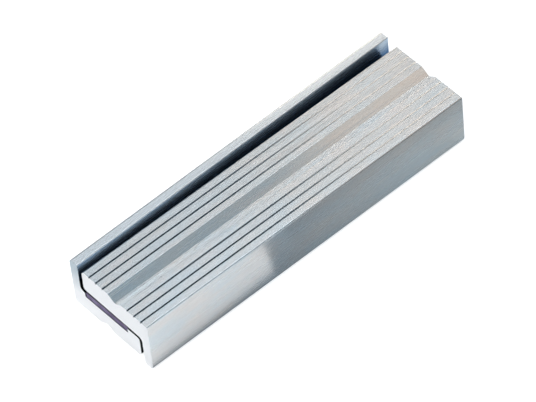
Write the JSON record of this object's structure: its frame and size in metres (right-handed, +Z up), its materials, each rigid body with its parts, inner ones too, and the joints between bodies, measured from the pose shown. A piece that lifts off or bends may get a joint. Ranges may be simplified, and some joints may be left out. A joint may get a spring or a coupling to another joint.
{
  "type": "nested pair of magnetic soft vice jaws",
  "caption": "L-shaped aluminium soft jaws for a bench vice, nested back to back with magnet strips between them; the grip faces have a V groove and fine score lines.",
  "frame": {"origin": "mid-length on the centre line of the upper V groove, in the plane of the upper grip face", "axes": "+X along the jaws, +Y from the upper jaw's leg towards its free edge, +Z up; the grip face leans 4.1 degrees from level, as the pair rests"},
  "size_m": [0.1504, 0.045, 0.0242],
  "materials": {
    "upper_jaw": "satin, as extruded, with saw-cut ends",
    "lower_jaw": "satin, as extruded, with saw-cut ends",
    "upper_magnet_strip": "matt dark purple-grey magnetic rubber",
    "lower_magnet_strip": "matt dark purple-grey magnetic rubber"
  },
  "bodies": {
    "root": {"upper_jaw": "upper_jaw", "lower_jaw": "lower_jaw", "upper_magnet_strip": "upper_magnet_strip", "lower_magnet_strip": "lower_magnet_strip"}
  },
  "joints": []
}
